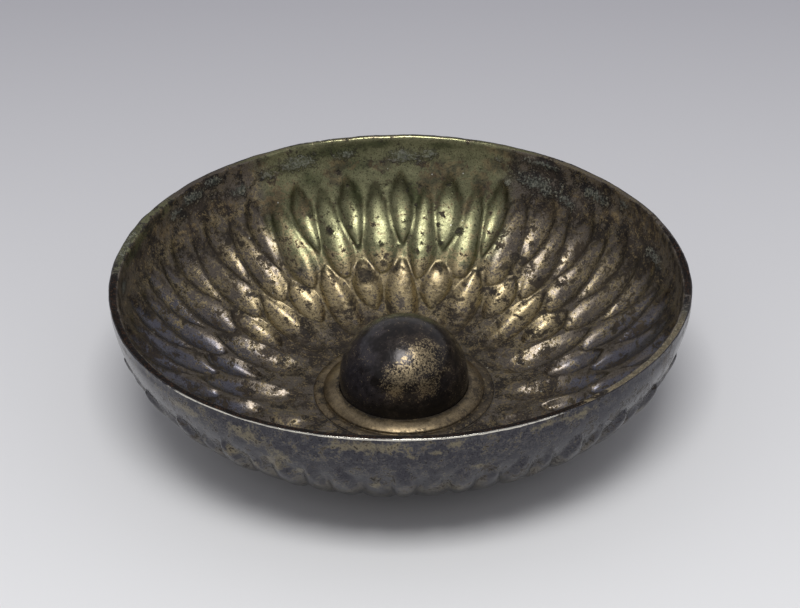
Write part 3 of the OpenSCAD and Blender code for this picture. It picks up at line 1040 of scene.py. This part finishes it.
def bowl_colour(n, m):
    """The bowl's colour, from the metal up to what lies on it."""
    olive = n.mix(n.ramp(n.clump, 0.30, 0.68), DEEP_OLIVE, OLIVE)
    umber = n.mix(n.ramp(n.broad, 0.42, 0.6), BLACK, UMBER)
    tan = n.mix(n.ramp(n.clump, 0.42, 0.60), UMBER, TAN)
    soot = n.mix(n.patch(n.grain, 0.55, 0.68, dust=0.8), SOOT, RUST)
    crust = n.mix(n.ramp(n.grain, 0.40, 0.66), CRUST, PALE_CRUST)
    pit = n.mix(n.ramp(n.grain, 0.50, 0.68), BLACK, PIT_BROWN)
    worn_gold = n.times(m.gold, n.ramp(n.grain, 0.30, 0.55, 0.35, 1.0))
    colour = n.mix(m.slate, BROWN, n.mix(m.inside, outer_colour(n, m), SLATE))
    colour = n.over(colour, olive, m.green)
    colour = n.over(colour, n.mix(m.inside, OCHRE, GOLD), worn_gold)
    colour = n.over(colour, PALE_GOLD, m.wear, n.field("ridge"), cover=0.30)
    colour = n.over(colour, umber, m.dark, cover=0.94)
    # Painted shade on the leaves' sides and tops: darker olive where green, darker brown elsewhere
    colour = n.over(colour, n.mix(m.green, FLANK_SHADE_BROWN, FLANK_SHADE_OLIVE), m.flank, cover=0.68)
    colour = n.over(colour, MOSS, m.moss, cover=0.75)
    colour = n.over(colour, tan, m.stain, cover=0.66)
    colour = n.over(colour, BRIGHT_EDGE, m.edge, cover=0.9)
    colour = n.over(colour, BLACK, n.math("MAXIMUM", m.specks, m.dusty), cover=0.62)
    colour = n.over(colour, GLINT, m.glint, m.inside, cover=0.8)
    colour = n.over(colour, BLACK, m.blots, m.mottled, cover=0.75)
    colour = n.over(colour, FLECK, m.flecks, m.mottled, cover=0.5)
    colour = n.over(colour, soot, m.dark, m.dull, cover=0.85)
    colour = n.over(colour, BLACK, m.crust_rim, cover=0.6)
    colour = n.over(colour, crust, m.crust, cover=0.72)
    return n.over(colour, pit, m.pits, cover=0.85)


def bowl_bronze():
    n = Surface("bowl_patinated_bronze", BRONZE_NOISES)
    m = bowl_masks(n)
    metal = n.plus(
        (n.field("matt"), -0.5), (m.dull, 0.35), (m.dark, -0.35), (m.gold, -0.15), (m.flank, -0.10),
        (m.crust, -0.8), (m.pits, -0.6), (m.specks, -0.3), (m.stain, -0.3), (m.edge, 0.3),
    )
    rough = n.plus(
        *n.uneven(cloud=0.25, grain=0.45), (m.dark, 0.12), (m.crust, 0.30), (m.pits, 0.3),
        (m.edge, -0.14), (m.dull, 0.3), (m.inside, 0.20),
    )
    height = n.plus(
        *n.uneven(cloud=0.22, clump=0.22, grain=0.14), (m.pits, -0.9), (m.crust, 0.5),
        (m.specks, -0.3), (m.dark, 0.12), (m.ochre, 0.12), (n.times(m.dull, n.grain), 1.2),
    )
    return n.finish({
        "Base Color": bowl_colour(n, m),
        "Metallic": n.ramp(n.math("ADD", metal, BOWL_METAL), 0.0, 1.0),
        "Roughness": n.ramp(n.math("ADD", rough, BOWL_BASE), *BOWL_ROUGH, *BOWL_ROUGH),
        "Normal": n.bump(height, BOWL_BUMP),
        "Specular IOR Level": BOWL_SPECULAR,
    })


# Rubbed places of the omphalos: middle and reach
RUBBED = (
    ((7, -12.5, 20.8), 10), ((-2.4, -17.8, 16.5), 8),
    ((8.2, -17.1, 14.3), 6), ((1.6, -16.6, 18.2), 6.5),
)


def omphalos_bronze():
    n = Surface("omphalos_patinated_bronze", DOME_NOISES)
    x, _, z = n.axes(n.place)
    rubbed = 0.0
    for middle, reach in RUBBED:
        away = n.vector("DISTANCE", n.place, middle, "Value")
        rubbed = n.math("MAXIMUM", rubbed, n.ramp(away, reach, 1.0))
    gold = n.patch(rubbed, 0.30, 0.66, factor=0.66, cloud=1.2, clump=1.4, grain=1.8, dust=1.4)
    blue = n.patch(x, 0.06, 0.56, factor=-0.03, cloud=1.6, clump=0.8)
    powder = n.patch(n.dust, 0.44, 0.58, to=(0.25, 1.0), grain=0.6)
    colour = n.mix(n.patch(n.cloud, 0.42, 0.62, clump=0.6), DOME_BLACK, DOME_BROWN)
    colour = n.over(colour, DOME_BLUE, blue, cover=0.5)
    colour = n.over(colour, DOME_GOLD, gold, powder)
    # Painted shade: darker towards the dome's foot, where it meets the collar
    colour = n.over(colour, DOME_FOOT_SHADE, n.ramp(z, 11.0, 6.0), cover=0.5)
    colour = n.over(colour, DOME_SPECK, n.ramp(n.dust, 0.54, 0.66), cover=0.6)
    rough = n.plus(*n.uneven(cloud=0.22, grain=0.35), (gold, 0.14))
    height = n.plus(*n.uneven(cloud=0.6, clump=0.4, grain=0.20))
    return n.finish({
        "Base Color": colour,
        "Metallic": n.ramp(gold, 0.0, 1.0, 0.5, 0.95),
        "Roughness": n.ramp(n.math("ADD", rough, DOME_BASE), *DOME_ROUGH, *DOME_ROUGH),
        "Normal": n.bump(height, DOME_BUMP),
    })


def collar_bronze():
    n = Surface("collar_golden_bronze", BRONZE_NOISES)
    blots, flecks = mottling(n)
    x, y, z = n.axes(n.place)
    flat = n.add("ShaderNodeCombineXYZ", {0: x, 1: y}).outputs[0]
    radius = n.vector("DISTANCE", flat, (0.0, 0.0, 0.0), "Value")
    # Darker on the outer step, which has the floor's patina, and at the inner edge beside the dome, which
    # is painted shade
    low = n.math("MAXIMUM", n.ramp(radius, 25.4, 26.0), n.ramp(radius, 22.2, 20.9, 0.0, 1.6))
    sides = n.plus((low, 0.50), (x, 0.012))
    dark = n.patch(sides, 0.08, 0.44, cloud=2.0, clump=2.2, grain=1.6)
    colour = n.mix(n.ramp(n.clump, 0.35, 0.65), COLLAR_BROWN, COLLAR_GOLD)
    # Painted highlight: lighter on the top of the bead
    colour = n.over(colour, COLLAR_CREST_HIGHLIGHT, n.ramp(z, 3.2, 3.8), cover=0.18)
    colour = n.over(colour, COLLAR_DARK, dark, cover=0.8)
    colour = n.over(colour, COLLAR_SPECK, n.ramp(n.dust, 0.54, 0.66), cover=0.55)
    # More black blots where darker: patina on the outer step, painted shade at the inner edge
    colour = n.over(colour, BLACK, blots, n.ramp(low, 0.0, 1.0, 0.4, 0.75))
    colour = n.over(colour, FLECK, flecks, cover=0.4)
    rough = n.plus(*n.uneven(cloud=0.3, grain=0.30), (dark, 0.1))
    height = n.plus(*n.uneven(cloud=0.5, clump=0.3, grain=0.12))
    return n.finish({
        "Base Color": colour,
        "Metallic": n.ramp(dark, 0.0, 1.0, 0.95, 0.6),
        "Roughness": n.ramp(n.math("ADD", rough, COLLAR_BASE), *COLLAR_ROUGH, *COLLAR_ROUGH),
        "Normal": n.bump(height, COLLAR_BUMP),
    })


def dull_solder():
    n = Surface("dull_solder", SOLDER_NOISES)
    return n.finish({
        "Base Color": n.mix(n.ramp(n.cloud, 0.35, 0.65), SOLDER_DARK, SOLDER_PALE),
        "Metallic": n.ramp(n.cloud, 0.3, 0.7, 0.4, 0.8),
        "Roughness": n.ramp(n.grain, 0.3, 0.7, 0.45, 0.75),
        "Normal": n.bump(n.grain, SOLDER_BUMP),
    })


# Floor: half of its side in metres, its two colours, and where along Y one fades into the other; the far
# colour is painted shade, the light falling off towards the back
FLOOR_HALF = 4.0
PAPER_NEAR = (0.805, 0.805, 0.80)
PAPER_FAR_SHADED = (0.395, 0.39, 0.415)
PAPER_SHADE_FADE = (-130.0, 330.0)


def floor_paper():
    n = Surface("pale_paper", PAPER_NOISES)
    _, y, _ = n.axes(n.place)
    # The paper darkens along Y towards the back: painted shade
    start, end = PAPER_SHADE_FADE
    away = n.add("ShaderNodeMapRange", {"Value": y, "From Min": start, "From Max": end}).outputs["Result"]
    return n.finish({
        "Base Color": n.mix(away, PAPER_NEAR, PAPER_FAR_SHADED),
        "Roughness": n.ramp(n.fibre, 0.3, 0.7, 0.85, 0.95),
        "Specular IOR Level": PAPER_SPECULAR,
    })


def make_floor():
    mesh = bpy.data.meshes.new("floor")
    half = FLOOR_HALF
    corners = [(-half, -half, 0.0), (half, -half, 0.0), (half, half, 0.0), (-half, half, 0.0)]
    mesh.from_pydata(corners, [], [(0, 1, 2, 3)])
    floor = bpy.data.objects.new("floor", mesh)
    floor.data.materials.append(floor_paper())
    bpy.context.scene.collection.objects.link(floor)


# Light: the room's colour and strength, the glow of the paper's rise, and the softbox in metres and watts
ROOM_TINT = (0.925, 0.93, 1.0, 1.0)
ROOM_GLOW = 0.44
PAPER_GLOW = 0.20
GLOW_BACK = (-0.3, 0.6)
GLOW_LOW = (0.75, 0.15)
SOFTBOX_SIZE = (1.0, 0.78)
SOFTBOX_POWER = 27.0
SOFTBOX_AT = (-0.02, -0.74, 1.98)
SOFTBOX_AIM = (0.0, 0.0, 0.02)


def make_room():
    """A dim room and the paper's rise at the back."""
    world = bpy.data.worlds.new("studio")
    world.use_nodes = True
    n = Nodes(world.node_tree)
    _, y, z = n.axes(n.add("ShaderNodeTexCoord").outputs["Generated"])
    rise = n.times(n.ramp(y, *GLOW_BACK), n.ramp(z, *GLOW_LOW))
    background = n.tree.nodes["Background"]
    n.set(background.inputs["Color"], ROOM_TINT)
    n.set(background.inputs["Strength"], n.multiply_add(rise, PAPER_GLOW, ROOM_GLOW))
    bpy.context.scene.world = world


def make_softbox():
    """A softbox above the front."""
    lamp = bpy.data.lights.new("softbox", "AREA")
    lamp.shape = "RECTANGLE"
    lamp.size, lamp.size_y = SOFTBOX_SIZE
    lamp.energy = SOFTBOX_POWER
    box = bpy.data.objects.new("softbox", lamp)
    box.location = SOFTBOX_AT
    aim = Vector(SOFTBOX_AIM) - Vector(SOFTBOX_AT)
    box.rotation_euler = aim.to_track_quat("-Z", "Y").to_euler()
    bpy.context.scene.collection.objects.link(box)


# Camera, fitted to the rim in the photograph of 800 by 608 pixels
CAMERA_FAR = 810.0
CAMERA_RISE = 31.7
FOCAL_PX = 2604.0
IMAGE_W = 800.0
IMAGE_H = 608.0
RIM_AT = (398.5, 274.0)
ROLL = 0.66
SENSOR_MM = 36.0
CLIP_METRES = (0.01, 50.0)


def make_camera():
    data = bpy.data.cameras.new("camera")
    data.sensor_width = SENSOR_MM
    data.lens = FOCAL_PX / IMAGE_W * SENSOR_MM
    data.clip_start, data.clip_end = CLIP_METRES
    camera = bpy.data.objects.new("camera", data)
    bpy.context.scene.collection.objects.link(camera)
    rise = math.radians(CAMERA_RISE)
    target = Vector((LEAN, 0.0, BOWL_H)) * MM
    place = target + Vector((0.0, -math.cos(rise), math.sin(rise))) * CAMERA_FAR * MM
    facing = (target - place).to_track_quat("-Z", "Y").to_matrix()
    pan = Matrix.Rotation(math.atan((RIM_AT[0] - IMAGE_W / 2.0) / FOCAL_PX), 3, "Y")
    tilt = Matrix.Rotation(math.atan((RIM_AT[1] - IMAGE_H / 2.0) / FOCAL_PX), 3, "X")
    roll = Matrix.Rotation(math.radians(-ROLL), 3, "Z")
    camera.matrix_world = Matrix.Translation(place) @ (facing @ pan @ tilt @ roll).to_4x4()
    bpy.context.scene.camera = camera


def dress():
    for piece, material, node, slot in (
        (make_bowl(), bowl_bronze(), "bowl", "bowl_bronze"),
        (make_omphalos(), omphalos_bronze(), "omphalos", "omphalos_bronze"),
        (make_collar(), collar_bronze(), "collar", "collar_bronze"),
    ):
        piece.data.materials.append(material)
        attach(piece, "root")
        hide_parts(node)
    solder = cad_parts["solder"]
    solder.data.materials.clear()
    solder.data.materials.append(dull_solder())


make_camera()
make_floor()
make_room()
make_softbox()
dress()
bpy.context.scene.view_settings.view_transform = "Standard"
